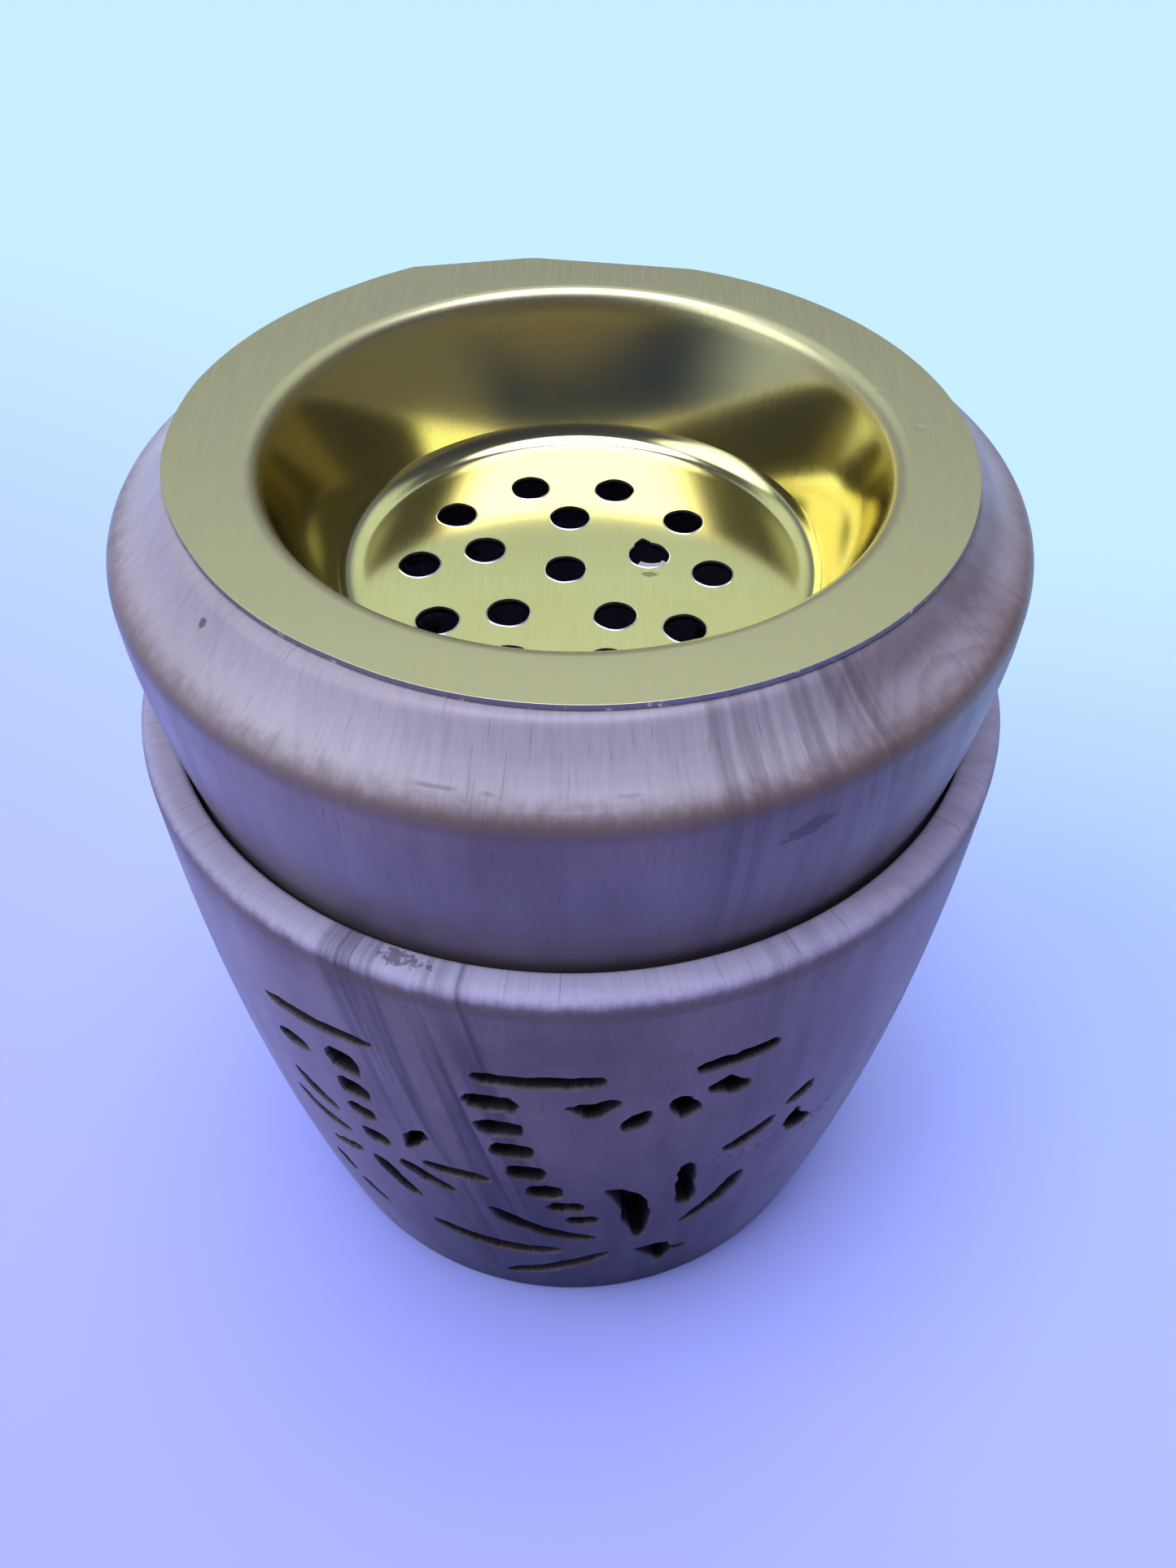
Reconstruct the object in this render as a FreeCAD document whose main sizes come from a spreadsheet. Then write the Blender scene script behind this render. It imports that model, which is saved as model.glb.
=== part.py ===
import FreeCAD
import Part
import Sketcher
import math
import os

Vector = FreeCAD.Vector

doc = FreeCAD.newDocument("IncenseBurner")

# Tapers that each bowed stretch of a turned profile is cut in
bowTapers = 4

# Driving dimensions, in millimetres and degrees. Heights are above the surface the cup stands on.
sizes = {
    # turned wooden cup
    "cup_height": 87.3,
    "cup_base_radius": 42.1,
    "cup_belly_radius": 48.2,
    "cup_belly_height": 43.5,
    "cup_rim_radius": 50.0,
    "cup_mouth_radius": 46.1,
    "cup_foot_radius": 41.5,
    "cup_foot_height": 0.5,
    "cup_lip_radius": 49.1,
    "cup_lip_height": 86.3,
    "cavity_floor_height": 7.0,
    "cavity_floor_radius": 38.3,
    "cavity_belly_radius": 43.4,
    "ledge_height": 79.3,
    "ledge_radius": 43.4,
    # carved oasis scene, repeated round the cup
    "scene_count": 3,
    "tall_palm_facing": 0.0,
    "small_palm_facing": -29.0,
    "grove_facing": 20.0,
    "carving_reach": 52.0,
    # turned wooden collar that drops into the mouth of the cup
    "collar_bore_radius": 36.5,
    "collar_spigot_radius": 45.7,
    "collar_waist_radius": 47.15,
    "collar_waist_height": 96.0,
    "collar_radius": 47.9,
    "collar_side_height": 104.9,
    "collar_shoulder_height": 107.96,
    "collar_round_radius": 47.64,
    "collar_round_height": 109.18,
    "collar_slope_radius": 46.91,
    "collar_slope_height": 110.19,
    "collar_top_radius": 41.5,
    "collar_top": 114.99,
    # spun metal dish that hangs in the collar by its flange
    "dish_sheet": 0.7,
    "dish_floor_height": 98.69,
    "dish_floor_radius": 26.0,
    "dish_mouth_radius": 33.4,
    "dish_blank_radius": 46.0,
    "dish_bend_inside": 1.5,
    "dish_bend_outside": 2.0,
    "dish_shift": 1.0,
    "dish_cut_reach": 120.0,
    "flange_radius": 40.0,
    "flange_wide_radius": 42.7,
    "hole_radius": 2.3,
    "hole_ring_shift": -1.7,
    "inner_ring_radius": 9.7,
    "inner_ring_start": 89.0,
    "inner_ring_count": 5,
    "outer_ring_radius": 16.25,
    "outer_ring_start": 71.0,
    "outer_ring_count": 10,
}

sheet = doc.addObject("Spreadsheet::Sheet", "dims")
for row, (alias, value) in enumerate(sizes.items(), start=1):
    sheet.set("A%d" % row, alias)
    sheet.set("B%d" % row, str(value))
    sheet.setAlias("B%d" % row, alias)
doc.recompute()


def newBody(label):
    body = doc.addObject("PartDesign::Body", label)
    body.Label = label
    return body


def originFeature(body, role):
    return next(feature for feature in body.Origin.OriginFeatures if feature.Role == role)


def newSketch(body, name, role):
    sketch = body.newObject("Sketcher::SketchObject", name)
    sketch.AttachmentSupport = [(originFeature(body, role), "")]
    sketch.MapMode = "FlatFace"
    return sketch


def bind(thing, path, alias):
    thing.setExpression(path, "dims." + alias)


def bindConstraint(sketch, constraint, expression):
    index = sketch.addConstraint(constraint)
    sketch.setExpression("Constraints[%d]" % index, expression)


def spotOf(corner):
    radius, height = corner[:2]
    return Vector(sizes.get(radius, 0), sizes.get(height, 0), 0)


def endNear(sketch, geometry, spot):
    # 1 is the start and 2 the end of a line or an arc
    return min((1, 2), key=lambda end: sketch.getPoint(geometry, end).distanceToPoint(spot))


def fixPoint(sketch, geometry, end, corner):
    for kind, alias, axis in zip(("DistanceX", "DistanceY"), corner[:2], (-2, -1)):
        if alias is None:
            sketch.addConstraint(Sketcher.Constraint("PointOnObject", geometry, end, axis))
        else:
            rule = Sketcher.Constraint(kind, -1, 1, geometry, end, sizes[alias])
            bindConstraint(sketch, rule, "dims." + alias)


def drawProfile(sketch, corners):
    # Each corner is a radius and a height; None stands for the axis or the ground. A third and a
    # fourth item are a point that a bowed stretch to the next corner passes through.
    lines = []
    departures = []
    for here, following in zip(corners, corners[1:] + corners[:1]):
        departures.append(len(lines))
        if len(here) == 2:
            run = Part.LineSegment(spotOf(here), spotOf(following))
            lines.append(sketch.addGeometry(run, False))
        else:
            lines += drawBow(sketch, spotOf(here), here[2:], spotOf(following))
    for line, after in zip(lines, lines[1:] + lines[:1]):
        sketch.addConstraint(Sketcher.Constraint("Coincident", line, 2, after, 1))
    for departure, corner in zip(departures, corners):
        fixPoint(sketch, lines[departure], 1, corner)


def drawBow(sketch, start, through, end):
    # a shallow arc through three points, turned as a few even tapers whose ends lie on it
    middle = spotOf(through)
    bow = Part.Arc(start, middle, end)
    stops = bow.discretize(Number=bowTapers + 1)
    arc = sketch.addGeometry(bow, True)
    guide = sketch.addGeometry(Part.Point(middle), True)
    fixPoint(sketch, guide, 1, through)
    sketch.addConstraint(Sketcher.Constraint("PointOnObject", guide, 1, arc))
    tapers = []
    for near, far in zip(stops, stops[1:]):
        taper = sketch.addGeometry(Part.LineSegment(near, far), False)
        if tapers:
            sketch.addConstraint(Sketcher.Constraint("PointOnObject", taper, 1, arc))
            sketch.addConstraint(Sketcher.Constraint("Equal", tapers[0], taper))
        tapers.append(taper)
    for taper, end_of_taper, spot in ((tapers[0], 1, start), (tapers[-1], 2, end)):
        joint = (arc, endNear(sketch, arc, spot), taper, end_of_taper)
        sketch.addConstraint(Sketcher.Constraint("Coincident", *joint))
    return tapers


def revolve(body, sketch, name):
    turned = body.newObject("PartDesign::Revolution", name)
    turned.Profile = sketch
    turned.ReferenceAxis = (sketch, ["V_Axis"])
    turned.Angle = 360
    doc.recompute()
    return turned


def ringName(shape, radius, height):
    # the circular edge about the upright axis at this radius and height
    near = 0.02
    for number, edge in enumerate(shape.Edges, start=1):
        curve = edge.Curve
        if isinstance(curve, Part.Circle) and abs(curve.Radius - radius) < near:
            if abs(curve.Center.z - height) < near:
                return "Edge%d" % number
    raise ValueError("no ring at radius %.2f, height %.2f" % (radius, height))


def bevelRing(body, name, radius, height, alias):
    base = body.Tip
    bevel = body.newObject("PartDesign::Chamfer", name)
    bevel.Base = (base, [ringName(base.Shape, radius, height)])
    bevel.Size = sizes[alias]
    bind(bevel, "Size", alias)
    doc.recompute()


def pocketThrough(body, sketch, name, alias):
    before = body.Shape.Volume
    cut = body.newObject("PartDesign::Pocket", name)
    cut.Profile = sketch
    cut.Reversed = True
    cut.Length = sizes[alias]
    bind(cut, "Length", alias)
    doc.recompute()
    if body.Shape.Volume > before - 1:
        raise ValueError(name + " cuts nothing")
    return cut


def polarPattern(body, originals, name, axis, alias):
    pattern = body.newObject("PartDesign::PolarPattern", name)
    pattern.Originals = originals
    pattern.Axis = axis
    pattern.Angle = 360
    pattern.Occurrences = sizes[alias]
    bind(pattern, "Occurrences", alias)
    body.Tip = pattern
    doc.recompute()
    return pattern


def drawOutline(sketch, corners):
    for start, end in zip(corners, corners[1:] + corners[:1]):
        sketch.addGeometry(Part.LineSegment(start, end), False)


def addSlot(sketch, left, right, width):
    # a straight saw cut
    left, right = Vector(*left), Vector(*right)
    along = right - left
    side = Vector(-along.y, along.x, 0).normalize() * (width / 2)
    drawOutline(sketch, [left + side, right + side, right - side, left - side])


def addLeaf(sketch, root, tip, width, bow):
    # a pointed six-sided cut; its middle lies off the straight line by the bow
    root, tip = Vector(*root), Vector(*tip)
    along = tip - root
    side = Vector(-along.y, along.x, 0).normalize()
    near = root + along * leafShoulder + side * bow
    far = tip - along * leafShoulder + side * bow
    half = side * (width / 2)
    drawOutline(sketch, [root, near + half, far + half, tip, far - half, near - half])


# How far the widest part of a leaf starts from its ends, as a share of its length
leafShoulder = 0.3


def carve(body, name, facing, slots, leaves):
    # The cuts are drawn as seen from outside, on a plane through the axis turned to face them
    sketch = newSketch(body, name, "XZ_Plane")
    upright = Vector(0, 1, 0)
    sketch.AttachmentOffset = FreeCAD.Placement(Vector(), FreeCAD.Rotation(upright, sizes[facing]))
    bind(sketch, "AttachmentOffset.Rotation.Angle", facing)
    for slot in slots:
        addSlot(sketch, *slot)
    for leaf in leaves:
        addLeaf(sketch, *leaf)
    return pocketThrough(body, sketch, name + "_cut", "carving_reach")


# Carved cup: a turned, hollow body with a ledge inside its mouth
cup = newBody("carved_cup")
cupProfile = newSketch(cup, "cup_profile", "XZ_Plane")
drawProfile(cupProfile, [
    (None, None),
    ("cup_foot_radius", None),
    ("cup_base_radius", "cup_foot_height", "cup_belly_radius", "cup_belly_height"),
    ("cup_rim_radius", "cup_lip_height"),
    ("cup_lip_radius", "cup_height"),
    ("cup_mouth_radius", "cup_height"),
    ("cup_mouth_radius", "ledge_height"),
    ("ledge_radius", "ledge_height"),
    ("cavity_belly_radius", "cup_belly_height"),
    ("cavity_floor_radius", "cavity_floor_height"),
    (None, "cavity_floor_height"),
])
revolve(cup, cupProfile, "cup_turned")

# Tall palm, hanging crown down: a ground line, trunk notches along a curved stem, and fronds
trunkCount = 7
trunkFoot = 67.6
trunkPitch = 5.5
trunkStart = -7.0
trunkSweep = 9.7
trunkCurve = 1.75
trunkWide = 5.9
trunkNarrow = 4.3
trunkNotch = 3.5
tallPalmSlots = [((-9.0, 72.65), (4.9, 72.65), 2.5)]
for notch in range(trunkCount):
    share = notch / (trunkCount - 1)
    middle = trunkStart + trunkSweep * share ** trunkCurve
    half = (trunkWide + (trunkNarrow - trunkWide) * share) / 2
    level = trunkFoot - trunkPitch * notch
    tallPalmSlots.append(((middle - half, level), (middle + half, level), trunkNotch))
tallPalm = carve(cup, "tall_palm", "tall_palm_facing", tallPalmSlots, [
    ((-7.8, 37.5), (4.2, 27.0), 3.2, -1.5),
    ((-16.6, 24.6), (0.2, 22.2), 3.2, -0.8),
    ((-7.8, 8.9), (5.6, 20.3), 3.2, -0.3),
])

# Small palm to the left, with the same parts; its fronds are plain saw cuts
smallTrunk = [(0.9, 66.8), (0.9, 60.8), (1.3, 54.8), (1.7, 48.7)]
smallNotchLength = 4.0
smallNotch = 3.3
smallPalmSlots = [((-9.2, 70.6), (5.5, 72.8), 2.2)]
for middle, level in smallTrunk:
    half = smallNotchLength / 2
    smallPalmSlots.append(((middle - half, level), (middle + half, level), smallNotch))
smallPalm = carve(cup, "small_palm", "small_palm_facing", smallPalmSlots + [
    ((-8.2, 62.6), (-5.2, 65.2), 2.4),
    ((-8.8, 54.2), (-3.2, 50.6), 2.0),
    ((-10.7, 47.1), (-2.4, 45.3), 2.0),
    ((-6.9, 37.1), (-1.8, 40.6), 1.8),
    ((1.3, 41.2), (5.3, 33.1), 2.4),
    ((4.7, 44.1), (10.8, 39.8), 2.3),
    ((8.5, 47.1), (15.7, 47.3), 2.1),
    ((6.1, 50.1), (9.6, 55.9), 2.1),
], [])

# Right side of the scene: the rest of the tall palm's crown, and a low grove
grove = carve(cup, "grove", "grove_facing", [
    ((-3.1, 72.75), (6.3, 72.75), 2.4),
    ((-9.8, 62.2), (-7.7, 66.2), 2.7),
    ((-4.7, 67.6), (-2.7, 63.2), 2.5),
    ((-1.5, 68.7), (3.6, 66.2), 2.8),
    ((-2.4, 48.6), (-1.2, 36.0), 2.5),
    ((2.4, 51.8), (7.9, 54.1), 2.5),
    ((10.4, 58.6), (12.6, 55.4), 3.2),
    ((9.9, 52.1), (13.5, 47.0), 2.5),
], [
    ((-16.0, 68.4), (-10.6, 69.2), 3.4, -0.9),
    ((-10.9, 45.2), (-6.0, 25.6), 3.6, 0.9),
    ((5.5, 40.2), (-0.6, 28.0), 3.2, 0.4),
    ((-6.4, 21.0), (-1.4, 10.6), 4.4, 0.3),
])
cupAxis = (originFeature(cup, "Z_Axis"), [""])
polarPattern(cup, [tallPalm, smallPalm, grove], "scene_round_the_cup", cupAxis, "scene_count")

# Turned collar: a ring whose spigot sits on the ledge, with a flaring side and a sloping shoulder
collar = newBody("turned_collar")
collarProfile = newSketch(collar, "collar_profile", "XZ_Plane")
drawProfile(collarProfile, [
    ("collar_bore_radius", "ledge_height"),
    ("collar_spigot_radius", "ledge_height"),
    ("collar_spigot_radius", "cup_height"),
    ("collar_waist_radius", "collar_waist_height"),
    ("collar_radius", "collar_side_height"),
    ("collar_radius", "collar_shoulder_height"),
    ("collar_round_radius", "collar_round_height"),
    ("collar_slope_radius", "collar_slope_height"),
    ("collar_top_radius", "collar_top"),
    ("collar_bore_radius", "collar_top"),
])
revolve(collar, collarProfile, "collar_turned")

# Burner dish: a sheet-metal bowl with a flat flange. The outer wall is parallel to the inner one,
# a sheet's thickness away.
dish = newBody("burner_dish")
dishProfile = newSketch(dish, "dish_profile", "XZ_Plane")
sheetThickness = sizes["dish_sheet"]
floorTop = sizes["dish_floor_height"]
floorUnder = floorTop - sheetThickness
flangeUnder = sizes["collar_top"]
flangeTop = flangeUnder + sheetThickness
floorRadius = sizes["dish_floor_radius"]
mouthRadius = sizes["dish_mouth_radius"]
blankRadius = sizes["dish_blank_radius"]
wallRun = (mouthRadius - floorRadius) / (flangeTop - floorTop)
wallOffset = sheetThickness * math.hypot(1, wallRun)
underFloorRadius = floorRadius + wallOffset - wallRun * sheetThickness
underFlangeRadius = mouthRadius + wallOffset - wallRun * sheetThickness
dishCorners = [
    Vector(0, floorTop, 0),
    Vector(floorRadius, floorTop, 0),
    Vector(mouthRadius, flangeTop, 0),
    Vector(blankRadius, flangeTop, 0),
    Vector(blankRadius, flangeUnder, 0),
    Vector(underFlangeRadius, flangeUnder, 0),
    Vector(underFloorRadius, floorUnder, 0),
    Vector(0, floorUnder, 0),
]
for start, end in zip(dishCorners, dishCorners[1:] + dishCorners[:1]):
    dishProfile.addGeometry(Part.LineSegment(start, end), False)
floorLine, wallLine, flangeLine, edgeLine, underFlange, outerWall, underFloor, axisLine = range(8)
for run in range(8):
    dishProfile.addConstraint(Sketcher.Constraint("Coincident", run, 2, (run + 1) % 8, 1))
for run in (floorLine, flangeLine, underFlange, underFloor):
    dishProfile.addConstraint(Sketcher.Constraint("Horizontal", run))
dishProfile.addConstraint(Sketcher.Constraint("Vertical", edgeLine))
dishProfile.addConstraint(Sketcher.Constraint("PointOnObject", floorLine, 1, -2))
dishProfile.addConstraint(Sketcher.Constraint("PointOnObject", underFloor, 2, -2))
dishProfile.addConstraint(Sketcher.Constraint("Parallel", wallLine, outerWall))
for rule, expression in [
    (("DistanceY", -1, 1, floorLine, 1, floorTop), "dims.dish_floor_height"),
    (("DistanceX", -1, 1, floorLine, 2, floorRadius), "dims.dish_floor_radius"),
    (("DistanceX", -1, 1, wallLine, 2, mouthRadius), "dims.dish_mouth_radius"),
    (("DistanceX", -1, 1, flangeLine, 2, blankRadius), "dims.dish_blank_radius"),
    (("DistanceY", -1, 1, underFlange, 1, flangeUnder), "dims.collar_top"),
    (("DistanceY", edgeLine, 2, edgeLine, 1, sheetThickness), "dims.dish_sheet"),
    (("DistanceY", axisLine, 1, axisLine, 2, sheetThickness), "dims.dish_sheet"),
    (("Distance", outerWall, 1, wallLine, sheetThickness), "dims.dish_sheet"),
]:
    bindConstraint(dishProfile, Sketcher.Constraint(*rule), expression)
revolve(dish, dishProfile, "dish_spun")
for name, radius, height, alias in [
    ("floor_bend", floorRadius, floorTop, "dish_bend_inside"),
    ("floor_bend_outside", underFloorRadius, floorUnder, "dish_bend_outside"),
    ("mouth_bend_under", underFlangeRadius, flangeUnder, "dish_bend_inside"),
    ("mouth_bend", mouthRadius, flangeTop, "dish_bend_outside"),
]:
    bevelRing(dish, name, radius, height, alias)


def polar(radius, degrees):
    angle = math.radians(degrees)
    return Vector(radius * math.cos(angle), radius * math.sin(angle), 0)


# The flange is cut round by hand: true along the front and right, wider with flats at the back left
flange = sizes["flange_radius"]
wide = sizes["flange_wide_radius"]
trimReach = blankRadius + 2
trueStart, trueEnd = -120, 72
wideStart, wideEnd = 120, 168
frontLeft, backRight = polar(flange, trueStart), polar(flange, trueEnd)
backFlatEnd = polar(41.0, 100)
backCorner = polar(43.1, wideStart)
sideCorner = polar(wide, wideEnd)
leftBlend = polar(40.9, -150)
trim = newSketch(dish, "flange_trim", "XY_Plane")
trimRuns = [
    Part.Arc(frontLeft, polar(flange, (trueStart + trueEnd) / 2), backRight),
    Part.LineSegment(backRight, backFlatEnd),
    Part.LineSegment(backFlatEnd, backCorner),
    Part.Arc(backCorner, polar(wide, (wideStart + wideEnd) / 2), sideCorner),
    Part.Arc(sideCorner, leftBlend, frontLeft),
]
trimEnds = [backRight, backFlatEnd, backCorner, sideCorner, frontLeft]
trimmed = [trim.addGeometry(run, False) for run in trimRuns]
for run, after, spot in zip(trimmed, trimmed[1:] + trimmed[:1], trimEnds):
    joint = (run, endNear(trim, run, spot), after, endNear(trim, after, spot))
    trim.addConstraint(Sketcher.Constraint("Coincident", *joint))
trim.addConstraint(Sketcher.Constraint("Coincident", trimmed[0], 3, -1, 1))
bindConstraint(trim, Sketcher.Constraint("Radius", trimmed[0], flange), "dims.flange_radius")
outerCircle = trim.addGeometry(Part.Circle(Vector(), Vector(0, 0, 1), trimReach), False)
trim.addConstraint(Sketcher.Constraint("Coincident", outerCircle, 3, -1, 1))
pocketThrough(dish, trim, "flange_trimmed", "dish_cut_reach")


def punch(name, ring, start):
    # one air hole, placed about a centre a little off the middle of the dish
    sketch = newSketch(dish, name, "XY_Plane")
    sketch.AttachmentOffset = FreeCAD.Placement(Vector(sizes["hole_ring_shift"], 0, 0), FreeCAD.Rotation())
    bind(sketch, "AttachmentOffset.Base.x", "hole_ring_shift")
    centre = polar(sizes[ring], sizes[start]) if ring else Vector()
    hole = sketch.addGeometry(Part.Circle(centre, Vector(0, 0, 1), sizes["hole_radius"]), False)
    bindConstraint(sketch, Sketcher.Constraint("Radius", hole, sizes["hole_radius"]), "dims.hole_radius")
    if ring:
        across = "dims.%s * cos(dims.%s * 1 deg)" % (ring, start)
        along = "dims.%s * sin(dims.%s * 1 deg)" % (ring, start)
        bindConstraint(sketch, Sketcher.Constraint("DistanceX", -1, 1, hole, 3, centre.x), across)
        bindConstraint(sketch, Sketcher.Constraint("DistanceY", -1, 1, hole, 3, centre.y), along)
    else:
        sketch.addConstraint(Sketcher.Constraint("Coincident", hole, 3, -1, 1))
    return sketch, pocketThrough(dish, sketch, name + "_punched", "dish_cut_reach")


punch("middle_hole", None, None)
for side in ("inner", "outer"):
    ring = side + "_ring"
    sketch, hole = punch(side + "_hole", ring + "_radius", ring + "_start")
    polarPattern(dish, [hole], side + "_holes", (sketch, ["N_Axis"]), ring + "_count")

# The dish lies loose in the collar, a little to the right of its middle
bind(dish, "Placement.Base.x", "dish_shift")
doc.recompute()

for item in doc.Objects:
    if "Invalid" in item.State or "Error" in item.State:
        raise RuntimeError("%s did not build" % item.Label)
os.makedirs("parts", exist_ok=True)
for body in (cup, collar, dish):
    if body.Shape.isNull() or not body.Shape.isValid():
        raise RuntimeError("%s has no valid shape" % body.Label)
for body in (cup, collar, dish):
    body.Shape.exportStep("parts/%s.step" % body.Label)
    print(body.Label, round(body.Shape.Volume), "mm3", body.Shape.BoundBox)
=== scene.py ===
import math
import bpy
from mathutils import Matrix, Vector, noise


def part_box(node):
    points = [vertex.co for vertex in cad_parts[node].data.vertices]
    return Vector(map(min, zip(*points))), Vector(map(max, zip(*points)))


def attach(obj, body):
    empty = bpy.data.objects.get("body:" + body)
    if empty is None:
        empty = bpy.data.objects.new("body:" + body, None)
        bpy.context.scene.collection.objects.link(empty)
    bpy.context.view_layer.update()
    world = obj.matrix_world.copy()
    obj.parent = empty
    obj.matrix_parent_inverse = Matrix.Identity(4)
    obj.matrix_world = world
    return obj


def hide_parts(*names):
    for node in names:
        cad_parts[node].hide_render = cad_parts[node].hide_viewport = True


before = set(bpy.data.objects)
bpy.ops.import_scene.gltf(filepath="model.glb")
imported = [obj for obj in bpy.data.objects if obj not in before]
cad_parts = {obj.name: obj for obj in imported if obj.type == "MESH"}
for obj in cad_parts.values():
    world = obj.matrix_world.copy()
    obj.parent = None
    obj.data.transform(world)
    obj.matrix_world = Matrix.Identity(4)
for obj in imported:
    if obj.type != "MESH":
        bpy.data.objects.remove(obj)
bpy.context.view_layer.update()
mm = 0.001
print("frame loaded:", ", ".join(sorted(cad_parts)))


# helpers for modelling

def clearSelection():
    bpy.ops.object.select_all(action="DESELECT")


def makeActive(piece):
    clearSelection()
    piece.select_set(True)
    bpy.context.view_layer.objects.active = piece


def bow(start, through, end, count):
    # a shallow curve that passes through its middle point
    pull = [2 * m - (a + b) / 2 for a, m, b in zip(start, through, end)]
    return [softPoint(start, pull, end, i / count) for i in range(count + 1)]


def softPoint(start, pull, end, t):
    return tuple((1 - t) ** 2 * a + 2 * t * (1 - t) * p + t * t * b for a, p, b in zip(start, pull, end))


def softPath(corners, count=6):
    # corners are (radius, height, how far the rounding reaches); points with no reach stay as they are
    path = []
    for i, (radius, height, reach) in enumerate(corners):
        here = Vector((radius, height))
        if not reach:
            path.append((radius, height))
            continue
        back = (Vector(corners[i - 1][:2]) - here).normalized() * reach
        on = (Vector(corners[(i + 1) % len(corners)][:2]) - here).normalized() * reach
        path += [softPoint(here + back, here, here + on, j / count) for j in range(count + 1)]
    return path


def turnOnLathe(name, path, steps):
    # the path is drawn as a line of edges in millimetres and spun round the upright axis
    clearSelection()
    firstRadius, firstHeight = path[0]
    bpy.ops.mesh.primitive_plane_add(size=mm, location=(firstRadius * mm, 0, firstHeight * mm))
    piece = bpy.context.object
    piece.name = piece.data.name = name
    bpy.ops.object.transform_apply(location=True, rotation=True, scale=True)
    bpy.ops.object.mode_set(mode="EDIT")
    bpy.ops.mesh.select_all(action="SELECT")
    bpy.ops.mesh.merge(type="CENTER")
    for (r0, z0), (r1, z1) in zip(path, path[1:]):
        bpy.ops.mesh.extrude_region_move(
            TRANSFORM_OT_translate={"value": ((r1 - r0) * mm, 0, (z1 - z0) * mm)})
    bpy.ops.mesh.select_all(action="SELECT")
    bpy.ops.mesh.spin(steps=steps, angle=2 * math.pi, center=(0, 0, 0), axis=(0, 0, 1))
    bpy.ops.mesh.select_all(action="SELECT")
    bpy.ops.mesh.remove_doubles(threshold=0.005 * mm)
    bpy.ops.mesh.normals_make_consistent(inside=False)
    bpy.ops.object.mode_set(mode="OBJECT")
    return piece


def combine(piece, cutter, operation):
    makeActive(piece)
    cut = piece.modifiers.new("cut", "BOOLEAN")
    cut.operation = operation
    cut.solver = "MANIFOLD"
    cut.material_mode = "TRANSFER"
    cut.object = cutter
    bpy.ops.object.modifier_apply(modifier=cut.name)
    bpy.data.objects.remove(cutter)


def ringStack(rings, material):
    # a closed tool: a filled ring of points, extruded from one ring of places to the next
    clearSelection()
    bpy.ops.mesh.primitive_circle_add(vertices=len(rings[0]), radius=mm, fill_type="NGON")
    tool = bpy.context.object
    for vertex, place in zip(tool.data.vertices, rings[0]):
        vertex.co = place
    for ring in rings[1:]:
        bpy.ops.object.mode_set(mode="EDIT")
        bpy.ops.mesh.extrude_region_move()
        bpy.ops.object.mode_set(mode="OBJECT")
        last = [v for v in tool.data.vertices if v.select]
        for vertex, place in zip(last, ring):
            vertex.co = place
    bpy.ops.object.mode_set(mode="EDIT")
    bpy.ops.mesh.select_all(action="SELECT")
    bpy.ops.mesh.normals_make_consistent(inside=False)
    bpy.ops.object.mode_set(mode="OBJECT")
    tool.data.materials.append(material)
    return tool


def joinAll(pieces):
    makeActive(pieces[0])
    for piece in pieces:
        piece.select_set(True)
    bpy.ops.object.join()
    return bpy.context.object


def copyTurned(piece, degrees):
    twin = piece.copy()
    twin.data = piece.data.copy()
    twin.data.transform(Matrix.Rotation(math.radians(degrees), 4, "Z"))
    bpy.context.scene.collection.objects.link(twin)
    return twin


def smoothShade(piece, degrees):
    # wide faces keep their own direction, so that flat metal and wood stay flat beside the cuts
    makeActive(piece)
    bpy.ops.object.shade_smooth_by_angle(angle=math.radians(degrees))
    weigh = piece.modifiers.new("weigh", "WEIGHTED_NORMAL")
    weigh.keep_sharp = True
    weigh.weight = 90
    bpy.ops.object.modifier_apply(modifier=weigh.name)


# helpers for materials

def tint(red, green, blue):
    # a colour given as on a colour card, 0 to 255, made linear
    def linear(level):
        share = level / 255
        return share / 12.92 if share <= 0.04045 else ((share + 0.055) / 1.055) ** 2.4
    return (linear(red), linear(green), linear(blue), 1)


def feed(tree, socket, term):
    if isinstance(term, bpy.types.NodeSocket):
        tree.links.new(term, socket)
    else:
        socket.default_value = term


def calc(tree, operation, *terms):
    node = tree.nodes.new("ShaderNodeMath")
    node.operation = operation
    for socket, term in zip(node.inputs, terms):
        feed(tree, socket, term)
    return node.outputs[0]


def span(tree, value, low, high, outLow=0.0, outHigh=1.0):
    # value from low to high becomes outLow to outHigh, eased at both ends
    node = tree.nodes.new("ShaderNodeMapRange")
    node.interpolation_type = "SMOOTHSTEP"
    for name, term in (("Value", value), ("From Min", low), ("From Max", high),
                       ("To Min", outLow), ("To Max", outHigh)):
        feed(tree, node.inputs[name], term)
    return node.outputs["Result"]


def band(tree, value, middle, half, soft):
    # 1 within half of the middle, fading over soft
    away = calc(tree, "ABSOLUTE", calc(tree, "SUBTRACT", value, middle))
    return span(tree, away, half, half + soft, 1.0, 0.0)


def spot(tree, u, v, middle, half, ragged):
    # an uneven oval mark round a middle, with a half size each way
    across = calc(tree, "DIVIDE", calc(tree, "SUBTRACT", u, middle[0]), half[0])
    upright = calc(tree, "DIVIDE", calc(tree, "SUBTRACT", v, middle[1]), half[1])
    away = calc(tree, "ADD", calc(tree, "MULTIPLY", across, across), calc(tree, "MULTIPLY", upright, upright))
    return span(tree, calc(tree, "ADD", away, ragged), 0.45, 1.1, 1.0, 0.0)


def blendColour(tree, factor, first, second, kind="MIX"):
    node = tree.nodes.new("ShaderNodeMix")
    node.data_type = "RGBA"
    node.blend_type = kind
    for index, term in ((0, factor), (6, first), (7, second)):
        feed(tree, node.inputs[index], term)
    return node.outputs[2]


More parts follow.
